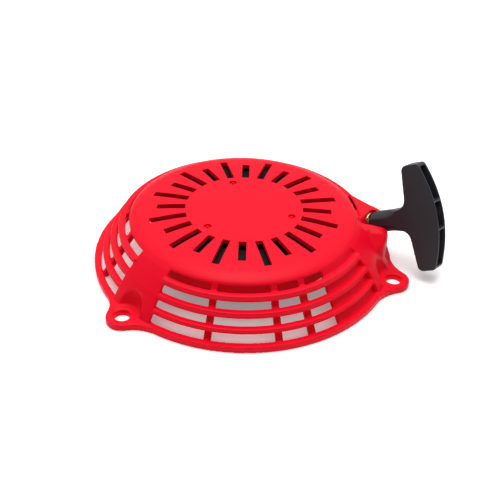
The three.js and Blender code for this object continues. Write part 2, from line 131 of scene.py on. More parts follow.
def makeLamp(name, spec):
    data = bpy.data.lights.new(name, "AREA")
    data.energy = spec["power"]
    data.size = spec["size"]
    obj = bpy.data.objects.new(name, data)
    obj.location = crank + Vector(spec["place"])
    toward = crank + Vector(spec["aim"]) - obj.location
    obj.rotation_euler = toward.to_track_quat("-Z", "Y").to_euler()
    bpy.context.scene.collection.objects.link(obj)


makeCamera(camera)
makeSky(light["sky"])
makeLamp("key", light["key"])
bpy.context.scene.view_settings.view_transform = "Standard"
print("camera and light placed")


# Meshes are made in mm round the crank axis, and settle() puts them in the frame
def meshObject(name, verts, faces):
    mesh = bpy.data.meshes.new(name)
    mesh.from_pydata([tuple(v) for v in verts], [], faces)
    mesh.validate()
    bm = bmesh.new()
    bm.from_mesh(mesh)
    bmesh.ops.remove_doubles(bm, verts=bm.verts, dist=10 * tiny)
    bmesh.ops.recalc_face_normals(bm, faces=bm.faces)
    bm.to_mesh(mesh)
    bm.free()
    obj = bpy.data.objects.new(name, mesh)
    bpy.context.scene.collection.objects.link(obj)
    return obj



def turned(name, profile, steps=240):
    verts, faces, rings = [], [], []
    for r, z in profile:
        if r < tiny:
            rings.append([len(verts)] * steps)
            verts.append((0, 0, z))
        else:
            rings.append(list(range(len(verts), len(verts) + steps)))
            for i in range(steps):
                angle = 2 * math.pi * i / steps
                verts.append((r * math.cos(angle), r * math.sin(angle), z))
    closed = profile[0][0] > tiny
    pairs = list(zip(rings, rings[1:] + ([rings[0]] if closed else [])))
    for low, high in pairs:
        for i in range(steps):
            j = (i + 1) % steps
            corners = [low[i], low[j], high[j], high[i]]
            kept = [c for k, c in enumerate(corners) if c not in corners[:k]]
            if len(kept) > 2:
                faces.append(kept)
    return meshObject(name, verts, faces)


def raised(name, outline, z0, z1):
    n = len(outline)
    verts = [(x, y, z0) for x, y in outline] + [(x, y, z1) for x, y in outline]
    faces = [list(range(n))[::-1], list(range(n, 2 * n))]
    faces += [[i, (i + 1) % n, n + (i + 1) % n, n + i] for i in range(n)]
    return meshObject(name, verts, faces)


def upright(name, outline, width, azimuth):
    n = len(outline)
    turn = Matrix.Rotation(math.radians(azimuth), 3, "Z")
    verts = [turn @ Vector((r, side * width / 2, z)) for side in (-1, 1) for r, z in outline]
    faces = [list(range(n))[::-1], list(range(n, 2 * n))]
    faces += [[i, (i + 1) % n, n + (i + 1) % n, n + i] for i in range(n)]
    return meshObject(name, verts, faces)


def disc(name, radius, z0, z1, centre=(0, 0), steps=96):
    x, y = centre[0], centre[1]
    angles = [2 * math.pi * i / steps for i in range(steps)]
    outline = [(x + radius * math.cos(angle), y + radius * math.sin(angle)) for angle in angles]
    return raised(name, outline, z0, z1)


def bar(name, radius, origin, direction, start, end, steps=64):
    obj = disc(name, radius, start, end, steps=steps)
    turn = Vector((0, 0, 1)).rotation_difference(Vector(direction).normalized())
    obj.data.transform(Matrix.Translation(Vector(origin)) @ turn.to_matrix().to_4x4())
    return obj


def sector(name, start, end, z0=-1.0, z1=40.0, radius=130.0, step=4):
    steps = math.ceil((end - start) / step)
    outline = [(0.0, 0.0)]
    outline += [tuple(polar(radius, start + (end - start) * i / steps).xy) for i in range(steps + 1)]
    return raised(name, outline, z0, z1)


# A curve at each corner; radius is one value, or one for each point
def rounded(points, radius, steps=4, most=0.45):
    out = []
    n = len(points)
    for i, here in enumerate(points):
        before, after = Vector(points[i - 1]), Vector(points[(i + 1) % n])
        p = Vector(here)
        r = radius[i] if isinstance(radius, (list, tuple)) else radius
        a, b = before - p, after - p
        if r <= 0 or a.length < tiny or b.length < tiny:
            out.append(tuple(p))
            continue
        half = a.angle(b) / 2
        reach = min(r / math.tan(half), most * a.length, most * b.length)
        start, end = p + a.normalized() * reach, p + b.normalized() * reach
        for k in range(steps + 1):
            t = k / steps
            out.append(tuple(start * (1 - t) ** 2 + p * 2 * t * (1 - t) + end * t * t))
    return out


def discard(obj):
    mesh = obj.data
    bpy.data.objects.remove(obj)
    bpy.data.meshes.remove(mesh)


def boolean(target, tool, operation):
    modifier = target.modifiers.new("join", "BOOLEAN")
    modifier.operation = operation
    modifier.object = tool
    modifier.solver = "MANIFOLD"
    bakeModifiers(target)
    discard(tool)
    return target


def bakeModifiers(obj):
    bpy.context.view_layer.update()
    graph = bpy.context.evaluated_depsgraph_get()
    mesh = bpy.data.meshes.new_from_object(obj.evaluated_get(graph))
    old = obj.data
    obj.modifiers.clear()
    obj.data = mesh
    mesh.name = old.name
    bpy.data.meshes.remove(old)


def joined(objects):
    first = objects[0]
    bm = bmesh.new()
    for obj in objects:
        bm.from_mesh(obj.data)
    bm.to_mesh(first.data)
    bm.free()
    for obj in objects[1:]:
        discard(obj)
    return first


def union(objects):
    first = objects[0]
    for obj in objects[1:]:
        boolean(first, obj, "UNION")
    return first


# Soft moulded edges: one closed skin, smoothed all over, and more where a test in softer says so
def softened(obj, voxel, passes, share, softer=None):
    remesh = obj.modifiers.new("remesh", "REMESH")
    remesh.mode = "VOXEL"
    remesh.voxel_size = voxel
    bakeModifiers(obj)
    smooth = obj.modifiers.new("smooth", "SMOOTH")
    smooth.iterations = passes
    for name, (extra, test) in (softer or {}).items():
        chosen = obj.vertex_groups.new(name=name)
        chosen.add([v.index for v in obj.data.vertices if test(v.co)], 1.0, "REPLACE")
        more = obj.modifiers.new(name, "SMOOTH")
        more.iterations = extra
        more.vertex_group = name
    decimate = obj.modifiers.new("decimate", "DECIMATE")
    decimate.ratio = share
    bakeModifiers(obj)
    return obj


def settle(obj, body, replaced=(), material=None, sharp=None):
    obj.data.transform(Matrix.Translation(crank) @ Matrix.Scale(mm, 4))
    if material:
        obj.data.materials.clear()
        obj.data.materials.append(material)
    for polygon in obj.data.polygons:
        polygon.use_smooth = True
    if sharp:
        obj.data.set_sharp_from_angle(angle=math.radians(sharp))
    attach(obj, body)
    if replaced:
        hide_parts(*replaced)
    return obj


# Shader groups that several materials share
def newGroup(name, ins, outs):
    group = bpy.data.node_groups.new(name, "ShaderNodeTree")
    for label, kind, value in ins:
        socket = group.interface.new_socket(name=label, in_out="INPUT", socket_type=kind)
        socket.default_value = value
    for label, kind in outs:
        group.interface.new_socket(name=label, in_out="OUTPUT", socket_type=kind)
    return group, group.nodes.new("NodeGroupInput"), group.nodes.new("NodeGroupOutput")


def node(tree, kind, links=(), **values):
    made = tree.nodes.new(kind)
    for key, value in values.items():
        if hasattr(made, key):
            setattr(made, key, value)
        else:
            made.inputs[key.replace("_", " ")].default_value = value
    for source, socket in links:
        tree.links.new(source, made.inputs[socket])
    return made


def makeGrain():
    group, start, end = newGroup(
        "mouldGrain",
        [("Size", "NodeSocketFloat", 900.0), ("Blotch", "NodeSocketFloat", 35.0)],
        [("Grain", "NodeSocketFloat"), ("Mottle", "NodeSocketFloat")],
    )
    place = node(group, "ShaderNodeTexCoord").outputs["Object"]
    fine = node(group, "ShaderNodeTexNoise", [(place, "Vector"), (start.outputs["Size"], "Scale")],
                Detail=3.0, Roughness=0.6)
    broad = node(group, "ShaderNodeTexNoise", [(place, "Vector"), (start.outputs["Blotch"], "Scale")],
                 Detail=4.0, Roughness=0.55)
    group.links.new(fine.outputs["Fac"], end.inputs["Grain"])
    group.links.new(broad.outputs["Fac"], end.inputs["Mottle"])
    return group


# Lighter colour on convex edges, broken up by noise: partly real edge wear, partly a painted highlight along
# the edges
def makeEdgeWearAndHighlight():
    group, start, end = newGroup(
        "edgeWearAndHighlight",
        [("Low", "NodeSocketFloat", 0.52), ("High", "NodeSocketFloat", 0.62),
         ("Breakup", "NodeSocketFloat", 120.0)],
        [("Mask", "NodeSocketFloat")],
    )
    geometry = node(group, "ShaderNodeNewGeometry")
    coords = node(group, "ShaderNodeTexCoord")
    noise = node(group, "ShaderNodeTexNoise",
                 [(coords.outputs["Object"], "Vector"), (start.outputs["Breakup"], "Scale")], Detail=3.0)
    edge = node(group, "ShaderNodeMapRange",
                [(geometry.outputs["Pointiness"], "Value"), (start.outputs["Low"], "From Min"),
                 (start.outputs["High"], "From Max")])
    spots = node(group, "ShaderNodeMapRange", [(noise.outputs["Fac"], "Value")], From_Min=0.35, From_Max=0.65)
    both = node(group, "ShaderNodeMath", [(edge.outputs["Result"], 0), (spots.outputs["Result"], 1)],
                operation="MULTIPLY")
    group.links.new(both.outputs["Value"], end.inputs["Mask"])
    return group


def makeBraid():
    group, start, end = newGroup(
        "ropeBraid",
        [("Strands", "NodeSocketFloat", 8.0), ("Pitch", "NodeSocketFloat", 5.0)],
        [("Height", "NodeSocketFloat")],
    )

    def maths(operation, first, second=None):
        made = node(group, "ShaderNodeMath", [(first, 0)], operation=operation)
        if isinstance(second, float):
            made.inputs[1].default_value = second
        elif second is not None:
            group.links.new(second, made.inputs[1])
        return made.outputs[0]

    uv = node(group, "ShaderNodeUVMap")
    parts = node(group, "ShaderNodeSeparateXYZ", [(uv.outputs["UV"], "Vector")])
    around = maths("MULTIPLY", parts.outputs["X"], start.outputs["Strands"])
    along = maths("MULTIPLY", parts.outputs["Y"], start.outputs["Pitch"])
    lanes = [maths("ADD", around, along), maths("SUBTRACT", around, along)]  # yarns to the right and left
    heights = [maths("ABSOLUTE", maths("SINE", maths("MULTIPLY", lane, math.pi))) for lane in lanes]
    floors = [maths("FLOOR", lane) for lane in lanes]
    parity = maths("FLOORED_MODULO", maths("ADD", *floors), 2.0)  # which yarn is on top
    pick = node(group, "ShaderNodeMix", [(parity, "Factor"), (heights[0], "A"), (heights[1], "B")],
                data_type="FLOAT")
    group.links.new(pick.outputs["Result"], end.inputs["Height"])
    return group


grainGroup = makeGrain()
wearAndHighlightGroup = makeEdgeWearAndHighlight()
braidGroup = makeBraid()


def newMaterial(name):
    material = bpy.data.materials.new(name)
    material.use_nodes = True
    tree = material.node_tree
    return material, tree, tree.nodes["Principled BSDF"]


def placeGroup(tree, group, **values):
    made = tree.nodes.new("ShaderNodeGroup")
    made.node_tree = group
    for key, value in values.items():
        made.inputs[key].default_value = value
    return made


def blendColours(tree, factor, first, second):
    mix = tree.nodes.new("ShaderNodeMix")
    mix.data_type = "RGBA"
    tree.links.new(factor, mix.inputs["Factor"])
    for value, socket in ((first, mix.inputs["A"]), (second, mix.inputs["B"])):
        if isinstance(value, tuple):
            socket.default_value = (*value, 1)
        else:
            tree.links.new(value, socket)
    return mix.outputs["Result"]


def ranged(tree, source, low, high, start=0.3, stop=0.7):
    made = tree.nodes.new("ShaderNodeMapRange")
    tree.links.new(source, made.inputs["Value"])
    made.inputs["From Min"].default_value = start
    made.inputs["From Max"].default_value = stop
    made.inputs["To Min"].default_value = low
    made.inputs["To Max"].default_value = high
    return made.outputs["Result"]


def bumped(tree, shader, height, strength, distance):
    made = tree.nodes.new("ShaderNodeBump")
    made.inputs["Strength"].default_value = strength
    made.inputs["Distance"].default_value = distance
    tree.links.new(height, made.inputs["Height"])
    tree.links.new(made.outputs["Normal"], shader.inputs["Normal"])


def plastic(name, spec):
    material, tree, shader = newMaterial(name)
    grain = placeGroup(tree, grainGroup, Size=spec["grain"], Blotch=spec["blotch"])
    wearAndHighlight = placeGroup(tree, wearAndHighlightGroup, Low=spec["edgeLow"], High=spec["edgeHigh"])
    body = blendColours(tree, grain.outputs["Mottle"], spec["dark"], spec["light"])
    # The edge colour on convex edges is partly wear and partly painted highlight
    colour = blendColours(tree, wearAndHighlight.outputs["Mask"], body, spec["edge"])
    tree.links.new(colour, shader.inputs["Base Color"])
    roughness = ranged(tree, grain.outputs["Mottle"], spec["smooth"], spec["rough"])
    tree.links.new(roughness, shader.inputs["Roughness"])
    bumped(tree, shader, grain.outputs["Grain"], spec["bump"], spec["depth"])
    shader.inputs["IOR"].default_value = spec["ior"]
    shader.inputs["Specular IOR Level"].default_value = spec["gloss"]
    return material


def metal(name, spec):
    material, tree, shader = newMaterial(name)
    grain = placeGroup(tree, grainGroup, Size=spec["grain"], Blotch=spec["blotch"])
    wearAndHighlight = placeGroup(tree, wearAndHighlightGroup, Low=spec["edgeLow"], High=spec["edgeHigh"])
    body = blendColours(tree, grain.outputs["Mottle"], spec["dark"], spec["light"])
    # The edge colour on convex edges is partly wear and partly painted highlight
    colour = blendColours(tree, wearAndHighlight.outputs["Mask"], body, spec["edge"])
    tree.links.new(colour, shader.inputs["Base Color"])
    roughness = ranged(tree, grain.outputs["Grain"], spec["smooth"], spec["rough"])
    tree.links.new(roughness, shader.inputs["Roughness"])
    shader.inputs["Metallic"].default_value = 1.0
    bumped(tree, shader, grain.outputs["Grain"], spec["bump"], spec["depth"])
    return material


def braided(name, spec):
    material, tree, shader = newMaterial(name)
    braid = placeGroup(tree, braidGroup, Strands=spec["strands"], Pitch=spec["pitch"])
    grain = placeGroup(tree, grainGroup, Size=spec["grain"], Blotch=spec["blotch"])
    # Darker colour down between the yarns, where the braid's height is low, is painted shade; the soil
    # blotches are real dirt
    body = blendColours(tree, braid.outputs["Height"], spec["groove"], spec["yarn"])
    soiled = ranged(tree, grain.outputs["Mottle"], 0.0, spec["soiling"])
    colour = blendColours(tree, soiled, body, spec["soil"])
    tree.links.new(colour, shader.inputs["Base Color"])
    roughness = ranged(tree, grain.outputs["Grain"], spec["smooth"], spec["rough"])
    tree.links.new(roughness, shader.inputs["Roughness"])
    bumped(tree, shader, braid.outputs["Height"], spec["bump"], spec["depth"])
    shader.inputs["Sheen Weight"].default_value = spec["sheen"]
    return material


# The edge colour in each of these materials is partly edge wear and partly painted highlight
caseRed = plastic("caseRed", {
    "dark": (0.80, 0.0010, 0.016), "light": (0.87, 0.0015, 0.021), "edge": (0.92, 0.02, 0.04),
    "edgeLow": 0.54, "edgeHigh": 0.7, "grain": 1600.0, "blotch": 22.0,
    "smooth": 0.34, "rough": 0.44, "bump": 0.12, "depth": 0.0001, "ior": 1.5, "gloss": 0.1,
})
reelBlack = plastic("reelBlack", {
    "dark": (0.007, 0.006, 0.007), "light": (0.012, 0.011, 0.012), "edge": (0.035, 0.035, 0.035),
    "edgeLow": 0.52, "edgeHigh": 0.66, "grain": 1200.0, "blotch": 60.0,
    "smooth": 0.5, "rough": 0.66, "bump": 0.2, "depth": 0.0001, "ior": 1.5, "gloss": 0.1,
})
gripBlack = plastic("gripBlack", {
    "dark": (0.012, 0.013, 0.018), "light": (0.018, 0.019, 0.025), "edge": (0.06, 0.062, 0.068),
    "edgeLow": 0.53, "edgeHigh": 0.68, "grain": 1500.0, "blotch": 90.0,
    "smooth": 0.42, "rough": 0.56, "bump": 0.35, "depth": 0.0001, "ior": 1.5, "gloss": 0.5,
})
guideBlack = plastic("guideBlack", {
    "dark": (0.016, 0.016, 0.017), "light": (0.026, 0.026, 0.028), "edge": (0.08, 0.08, 0.08),
    "edgeLow": 0.52, "edgeHigh": 0.64, "grain": 1400.0, "blotch": 80.0,
    "smooth": 0.4, "rough": 0.55, "bump": 0.25, "depth": 0.0001, "ior": 1.5, "gloss": 0.5,
})
brass = metal("brass", {
    "dark": (0.62, 0.40, 0.13), "light": (0.80, 0.58, 0.24), "edge": (0.95, 0.80, 0.45),
    "edgeLow": 0.51, "edgeHigh": 0.6, "grain": 900.0, "blotch": 150.0,
    "smooth": 0.22, "rough": 0.36, "bump": 0.1, "depth": 0.00005,
})
zincSteel = metal("zincSteel", {
    "dark": (0.50, 0.50, 0.50), "light": (0.66, 0.67, 0.68), "edge": (0.85, 0.85, 0.86),
    "edgeLow": 0.51, "edgeHigh": 0.6, "grain": 1300.0, "blotch": 120.0,
    "smooth": 0.28, "rough": 0.44, "bump": 0.15, "depth": 0.00005,
})
springSteel = metal("springSteel", {
    "dark": (0.20, 0.21, 0.23), "light": (0.32, 0.34, 0.37), "edge": (0.6, 0.62, 0.64),
    "edgeLow": 0.51, "edgeHigh": 0.6, "grain": 1300.0, "blotch": 90.0,
    "smooth": 0.26, "rough": 0.4, "bump": 0.1, "depth": 0.00005,
})
# The groove colour is painted shade between the yarns
ropeYarn = braided("ropeYarn", {
    "strands": 8.0, "pitch": 8.0, "groove": (0.30, 0.27, 0.21), "yarn": (0.80, 0.77, 0.68),
    "soil": (0.42, 0.38, 0.30), "soiling": 0.35, "grain": 2500.0, "blotch": 60.0,
    "smooth": 0.75, "rough": 0.95, "bump": 0.8, "depth": 0.0004, "sheen": 0.3,
})
print("materials made")


# The grip's own axes: along the rope, along the T's bar, and across it
rope = {
    "radius": 2.2, "turnRadius": 51.7, "level": 25.4,
    "radii": (42.6, 47.1, 51.7), "levels": (23.25, 27.65), "perTurn": 96, "crossing": 0.12,
    "leadLevel": 23.4, "straightBefore": 9, "gripLength": 37.5,
}
gripPlace = {"origin": (82.7, 10.6, 22.2), "long": (-0.223, 0.448, 0.866)}
gripAxis = Vector(joints["handle_pull"]["axis"]).normalized()
gripOrigin = Vector(gripPlace["origin"])
gripAcross = gripAxis.cross(Vector(gripPlace["long"])).normalized()
gripLong = gripAcross.cross(gripAxis).normalized()
gripTurn = Matrix((gripAxis, gripLong, gripAcross)).transposed().to_4x4()

# The rope leaves the winding on a tangent towards the eyelet
eyelet = gripOrigin - 1.5 * gripAxis
tangentAzimuth = math.degrees(
    math.atan2(eyelet.y, eyelet.x) + math.acos(rope["turnRadius"] / math.hypot(eyelet.x, eyelet.y))
)
ropeStart = polar(rope["turnRadius"], tangentAzimuth, rope["level"])
ropeWay = Vector((eyelet.x - ropeStart.x, eyelet.y - ropeStart.y, 0)).normalized()
eyeletAxis = Vector((ropeWay.x, ropeWay.y, 0.1)).normalized()


case = {
    "baseRadius": 95.0, "baseInner": 90.8, "baseHeight": 4.1,
    "plateTop": 37.1, "skirtInner": 63.2, "skirtOuter": 65.2, "skirtBottom": 17.0, "roomRadius": 64.2,
    "lugCircle": 98.1, "lugTip": 9.8, "lugFillet": 24.0, "boltHole": 4.9, "countersink": 0.7,
    "socket": 10.4, "wellWall": 4.2,
    "slotInner": 36.9, "slotShort": 54.7, "slotLong": 59.9, "slotWidth": 4.7, "slotCount": 24,
    "dimpleCircle": 30.8, "dimple": 2.45, "dimpleDepth": 1.6, "dimpleBoss": 0.65,
    "hoops": ((74.6, 78.8, 23.6, 27.7), (79.8, 84.1, 15.8, 19.8), (85.0, 89.3, 8.8, 12.0)),
    "hoopEdge": 0.7, "hoopEnd": 1.1,
    "ribWidth": 4.2, "ribs": (-102, -75, -61.7, -163, -185, -207, -229, 75, 55),
    "pillarHalf": 10.3, "closedWall": (-50, -20),
    "rimGroove": (71.8, 73.8, 28.9), "rimGrooveSpan": (3, 38),
    "voxel": 0.45, "passes": 3, "keep": 0.4, "outletPasses": 16, "pillarPasses": 8, "sharp": 50,
}
outlet = {
    "wall": 3, "sideWall": 2.6, "floor": 2, "liner": 12.6, "backing": 8.6,
    "nose": 8.1, "mouth": 7.5, "mouthOpens": (0, -0.5, 0.85),
    "barrel": 4.4, "channel": 5.8, "flange": 6.6, "ropeHole": 5.4,
}

# Profiles are (radius, height), from the crank axis and the mounting plane
faceTop = [
    (0, 37.1), (15, 37.08), (30, 36.98), (38, 36.78), (46, 36.45), (54.7, 35.85), (59.9, 35.35), (64, 34.75),
    (66.2, 34.2), (68.2, 33.5), (70, 32.7), (71.3, 31.85), (72.0, 31.1), (72.0, 30.2),
]
faceUnder = [(69.4, 30.2), (67.4, 31.0), (65.2, 31.8)]
faceInside = [(63.2, 32.4), (54.7, 33.2), (30, 34.4), (0, 34.4)]
ribSide = [(71.2, 31.2), (92.0, 0.3), (87.9, 0.3), (67.4, 31.2)]
closedSide = [(71.6, 31.0), (92.6, 0), (89.6, 0), (69.4, 30.6)]
pillarOutside = [
    (60.5, 34.7), (66, 33.95), (69.5, 32.75), (71.6, 31.6), (73.4, 30.4), (77.8, 26.2), (84.0, 19.3),
    (89.2, 11.6), (93.6, 4.1), (93.6, 0),
]
pillarInside = [
    (91.2, 0), (91.2, 3.6), (86.8, 10.6), (81.6, 18.2), (75.4, 26.0), (72, 29), (68, 31), (60.5, 32.9),
]
wellEnvelope = [(78, 0), (93.6, 0), (93.6, 4.1), (89.2, 11.6), (84.0, 19.3), (80, 24), (78, 24)]
postProfile = [(4.6, 15), (8, 15), (8, 24.3), (11.5, 24.3), (11.5, 36), (4.6, 36)]
hookSide = [(10.5, 25.3), (13.1, 25.3), (13.1, 33), (10.5, 33)]

# The outlet is what its plan, its side and its front have in common
outletPlan = [
    (60, 33.7), (64.5, 31.4), (88.0, 19.2), (91.2, 12), (91.9, 4), (91.2, -6), (88, -14),
    (80, -17.5), (62, -16),
]
outletSide = [(58, 0), (92, 0), (92, 19), (91, 24.2), (88, 26.6), (70, 31.2), (58, 33.4)]
outletFront = [(34, 0), (34, 40), (4, 40), (2, 29.8), (-8, 26.4), (-14.5, 19.5), (-20, 8), (-20, 0)]


def arcPoints(centre, radius, start, end, steps=16):
    return [
        (centre[0] + radius * math.cos(start + (end - start) * i / steps),
         centre[1] + radius * math.sin(start + (end - start) * i / steps))
        for i in range(steps + 1)
    ]


def above(angle, limit):
    while angle < limit:
        angle += 2 * math.pi
    return angle


def below(angle, limit):
    while angle > limit:
        angle -= 2 * math.pi
    return angle


# The ring with its three lugs, and a hollow fillet on each side of each lug
def baseOutline(spec):
    out = spec["baseRadius"] + spec["lugFillet"]
    tipReach = spec["lugTip"] + spec["lugFillet"]
    circle = spec["lugCircle"]
    spread = math.acos((out ** 2 + circle ** 2 - tipReach ** 2) / (2 * out * circle))
    points = []
    for i, azimuth in enumerate(lugAzimuths):
        middle = math.radians(azimuth)
        tip = polar(circle, azimuth)
        ends = (middle - spread, middle + spread)
        sides = [Vector((out * math.cos(end), out * math.sin(end))) for end in ends]
        toTip = [math.atan2(side.y - tip.y, side.x - tip.x) for side in sides]
        start = middle - spread + math.pi
        points += arcPoints(sides[0], spec["lugFillet"], start, below(toTip[0] + math.pi, start))[:-1]
        points += arcPoints(tip, spec["lugTip"], toTip[0], above(toTip[1], toTip[0]), 24)[:-1]
        start = toTip[1] + math.pi
        points += arcPoints(sides[1], spec["lugFillet"], start, below(middle + spread + math.pi, start))[:-1]
        following = math.radians(lugAzimuths[(i + 1) % 3]) - spread
        stop = above(following, middle + spread)
        points += arcPoints((0, 0), spec["baseRadius"], middle + spread, stop, 64)[:-1]
    return points


def shrunk(outline, distance):
    middle = [sum(values) / len(outline) for values in zip(*outline)]
    out = []
    for x, y in outline:
        reach = math.hypot(x - middle[0], y - middle[1])
        scale = (reach - distance) / reach
        out.append((middle[0] + (x - middle[0]) * scale, middle[1] + (y - middle[1]) * scale))
    return out


def outletBlock(name, plan, side, front):
    body = raised(name, plan, 0, 40)
    sideways = raised("sideways", side, -60, 60)
    sideways.data.transform(Matrix.Rotation(math.pi / 2, 4, "X"))
    lengthways = raised("lengthways", front, 40, 110)
    lengthways.data.transform(Matrix(((0, 0, 1, 0), (1, 0, 0, 0), (0, 1, 0, 0), (0, 0, 0, 1))))
    boolean(body, sideways, "INTERSECT")
    return boolean(body, lengthways, "INTERSECT")


def copied(obj, name):
    twin = bpy.data.objects.new(name, obj.data.copy())
    bpy.context.scene.collection.objects.link(twin)
    return twin


def nearMouth(p):
    along = (p - gripOrigin).dot(gripAxis)
    across = (p - gripOrigin - gripAxis * along).length
    return across < 10.5 or (p - eyelet).length < 12


def onOutlet(p):
    return p.x > 66 and -19 < p.y < 27 and p.z > 5 and not nearMouth(p)


def onPillar(p):
    azimuth = math.degrees(math.atan2(p.y, p.x))
    apart = min(abs((azimuth - lug + 180) % 360 - 180) for lug in lugAzimuths)
    return apart < case["pillarHalf"] + 1 and math.hypot(p.x, p.y) > 66 and p.z > 4.6


# Leaves the outlet open towards the near side, round the grip's stem
def mouthSlot(spec):
    half = spec["mouth"]
    up = Vector(spec["mouthOpens"])
    up = (up - gripAxis * up.dot(gripAxis)).normalized()
    turn = Matrix((gripAxis, up.cross(gripAxis), up)).transposed().to_4x4()
    slot = raised("mouthSlot", [(-0.6, -half), (60, -half), (60, half), (-0.6, half)], 0, 40)
    slot.data.transform(Matrix.Translation(gripOrigin) @ turn)
    return slot


def caseShell(spec):
    skirt = [(spec["skirtOuter"], spec["skirtBottom"]), (spec["skirtInner"], spec["skirtBottom"])]
    cap = turned("cap", faceTop + faceUnder + skirt + faceInside)
    base = raised("base", baseOutline(spec), 0, spec["baseHeight"])
    boolean(base, disc("baseHole", spec["baseInner"], -1, 6, steps=240), "DIFFERENCE")
    parts = [cap, base]
    half = spec["pillarHalf"]
    for inner, outer, low, high in spec["hoops"]:
        section = [(inner, low), (outer, low), (outer, high), (inner, high)]
        hoop = turned("hoop", rounded(section, spec["hoopEdge"]))
        reach = half - spec["hoopEnd"]
        breaks = [sector("break", azimuth - reach, azimuth + reach) for azimuth in lugAzimuths]
        parts.append(boolean(hoop, joined(breaks), "DIFFERENCE"))
    parts += [upright("rib", ribSide, spec["ribWidth"], azimuth) for azimuth in spec["ribs"]]
    skin = turned("skin", closedSide)
    parts.append(boolean(skin, sector("closed", *spec["closedWall"]), "INTERSECT"))
    for azimuth in lugAzimuths:
        wall = turned("pillar", pillarOutside + pillarInside)
        parts.append(boolean(wall, sector("slice", azimuth - half, azimuth + half), "INTERSECT"))
        well = disc("well", spec["socket"] + spec["wellWall"], 0, 30, polar(spec["lugCircle"], azimuth))
        boolean(well, turned("envelope", wellEnvelope), "INTERSECT")
        parts.append(boolean(well, sector("slice", azimuth - half, azimuth + half), "INTERSECT"))
    return union(parts)


def addOutlet(body, spec, caseSpec):
    room = disc("room", caseSpec["roomRadius"], 0, 40, steps=240)
    outside = outletBlock("outlet", outletPlan, outletSide, outletFront)
    floor = caseSpec["baseHeight"] + spec["floor"]
    innerSide = [(x, z if z > 4 else floor) for x, z in shrunk(outletSide, spec["sideWall"])]
    innerFront = shrunk(outletFront, spec["wall"])
    inside = outletBlock("hollow", shrunk(outletPlan, spec["wall"]), innerSide, innerFront)
    liner = bar("liner", spec["liner"], gripOrigin, gripAxis, -8, 20)
    boolean(liner, copied(outside, "linerRoom"), "INTERSECT")
    backing = bar("backing", spec["backing"], eyelet, eyeletAxis, -8, 0)
    boolean(backing, copied(outside, "backingRoom"), "INTERSECT")
    boolean(inside, copied(room, "reelRoom"), "DIFFERENCE")
    lug = polar(caseSpec["lugCircle"], lugAzimuths[1])
    boolean(inside, disc("nearLug", caseSpec["socket"] + caseSpec["wellWall"], 0, 40, lug), "DIFFERENCE")
    boolean(outside, room, "DIFFERENCE")
    boolean(outside, copied(inside, "outletRoom"), "DIFFERENCE")
    boolean(body, inside, "DIFFERENCE")
    union([body, outside, liner, backing])
    boolean(body, bar("nose", spec["nose"], gripOrigin, gripAxis, -0.6, 60), "DIFFERENCE")
    boolean(body, mouthSlot(spec), "DIFFERENCE")
    boolean(body, bar("barrel", spec["barrel"], eyelet, eyeletAxis, -8, 10), "DIFFERENCE")
    boolean(body, bar("channel", spec["channel"], eyelet, eyeletAxis, -28, -7.7), "DIFFERENCE")
    boolean(body, bar("flange", spec["flange"], eyelet, eyeletAxis, -1.6, 10), "DIFFERENCE")
    boolean(body, bar("ropeHole", spec["ropeHole"], ropeStart, ropeWay, 10, 42), "DIFFERENCE")


def cutGroove(body, spec):
    inner, outer, floor = spec["rimGroove"]
    groove = turned("groove", [(inner, floor), (outer, floor), (outer, 40), (inner, 40)])
    boolean(groove, sector("span", *spec["rimGrooveSpan"]), "INTERSECT")
    boolean(body, groove, "DIFFERENCE")


# A soft scoop over each lug, for the socket that turns its bolt
def cutWell(body, spec, centre):
    low, wide = spec["baseHeight"], spec["socket"]
    scoop = [
        (0, low), (wide - 1.2, low), (wide - 0.2, low + 0.5), (wide + 0.8, low + 2), (wide + 1.5, low + 5),
        (wide + 1.9, low + 10), (wide + 1.9, 40), (0, 40),
    ]
    well = turned("socket", scoop, 96)
    well.data.transform(Matrix.Translation(centre))
    boolean(body, well, "DIFFERENCE")


def boltTool(spec, centre):
    low, inner = spec["baseHeight"], spec["boltHole"]
    outer = inner + spec["countersink"]
    hole = [(0, -1), (inner, -1), (inner, low - 0.5), (outer, low + 0.2), (outer, low + 0.4), (0, low + 0.4)]
    bolt = turned("bolt", hole, 64)
    bolt.data.transform(Matrix.Translation(centre))
    return bolt


def makeCase(spec):
    body = caseShell(spec)
    addOutlet(body, outlet, spec)
    cutGroove(body, spec)
    top = spec["plateTop"]
    tools, bosses = [], []
    for azimuth in lugAzimuths:
        centre = polar(spec["lugCircle"], azimuth)
        cutWell(body, spec, centre)
        tools.append(boltTool(spec, centre))
        spot = polar(spec["dimpleCircle"], azimuth)
        tools.append(disc("dimple", spec["dimple"], top - spec["dimpleDepth"], 40, spot, 48))
        bosses.append(disc("boss", spec["dimpleBoss"], top - 2.1, top - 0.25, spot, 24))
    for i in range(spec["slotCount"]):
        reach = spec["slotShort"] if i % 2 == 0 else spec["slotLong"]
        outline = [(spec["slotInner"], 30), (reach, 30), (reach, 40), (spec["slotInner"], 40)]
        tools.append(upright("slot", outline, spec["slotWidth"], i * 360 / spec["slotCount"]))
    post = turned("post", rounded(postProfile, 0.3), 96)
    union([body, post, upright("hook", hookSide, 3, 90)])
    softened(body, spec["voxel"], spec["passes"], spec["keep"], {
        "outlet": (spec["outletPasses"], onOutlet),
        "pillars": (spec["pillarPasses"], onPillar),
    })
    # The slots, dimples and bolt holes come last, so that their edges stay crisp
    boolean(body, joined(tools), "DIFFERENCE")
    union([body, *bosses])
    body.name = "starterCase"
    return settle(body, "case", ("starter_case",), caseRed, sharp=spec["sharp"])


starterCase = makeCase(case)
print("case:", len(starterCase.data.polygons), "faces")


